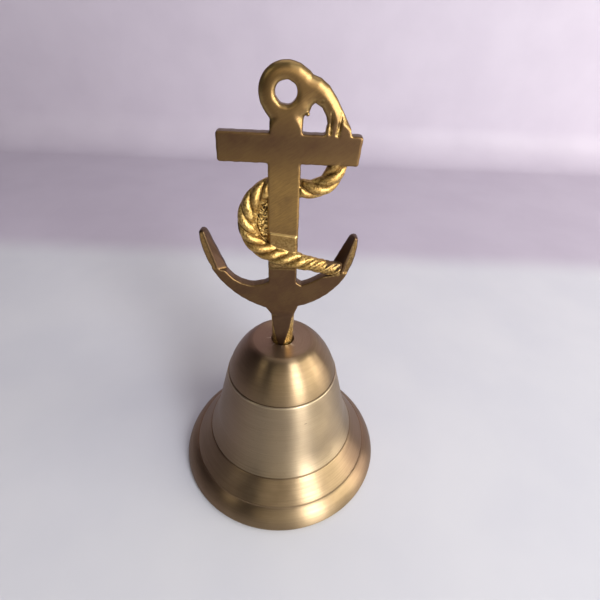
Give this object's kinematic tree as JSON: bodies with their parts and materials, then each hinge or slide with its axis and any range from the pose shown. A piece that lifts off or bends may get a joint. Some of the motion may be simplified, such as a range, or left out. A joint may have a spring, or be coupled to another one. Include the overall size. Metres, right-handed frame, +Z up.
{
  "type": "hand bell",
  "caption": "Small brass hand bell with a cast anchor-and-rope handle, turned waist lines and a free-swinging clapper inside.",
  "frame": {"origin": "centre of the rim's resting plane", "axes": "+Z up along the bell's axis, +X along the anchor's stock to the right as seen from the front, -Y towards the anchor's front face"},
  "size_m": [0.076, 0.076, 0.1413],
  "materials": {
    "bell_brass": "turned and satin brushed, antique lacquered brass",
    "anchor_brass": "sand-cast brass, faces linished, rope and recesses left as cast",
    "steel_hardware": "zinc plated steel",
    "clapper_wire": "drawn brass wire, dulled",
    "clapper_brass": "turned brass, slightly tarnished"
  },
  "bodies": {
    "bell": {"bell_body": "bell_brass", "anchor_handle": "anchor_brass", "eye_bolt": "steel_hardware", "crown_washer": "steel_hardware", "spring_washer": "steel_hardware", "clamp_nut": "steel_hardware"},
    "link": {"clapper_link": "clapper_wire"},
    "clapper": {"clapper_rod": "clapper_wire", "clapper_ball": "clapper_brass"}
  },
  "joints": [
    {"name": "link_swing", "type": "hinge", "parent": "bell", "child": "link", "pos_m": [0, 0, 0.0396], "axis": [1, 0, 0], "range_deg": [-10, 10]},
    {"name": "clapper_swing", "type": "hinge", "parent": "link", "child": "clapper", "pos_m": [0, 0, 0.0336], "axis": [0, 1, 0], "range_deg": [-43, 43]}
  ]
}
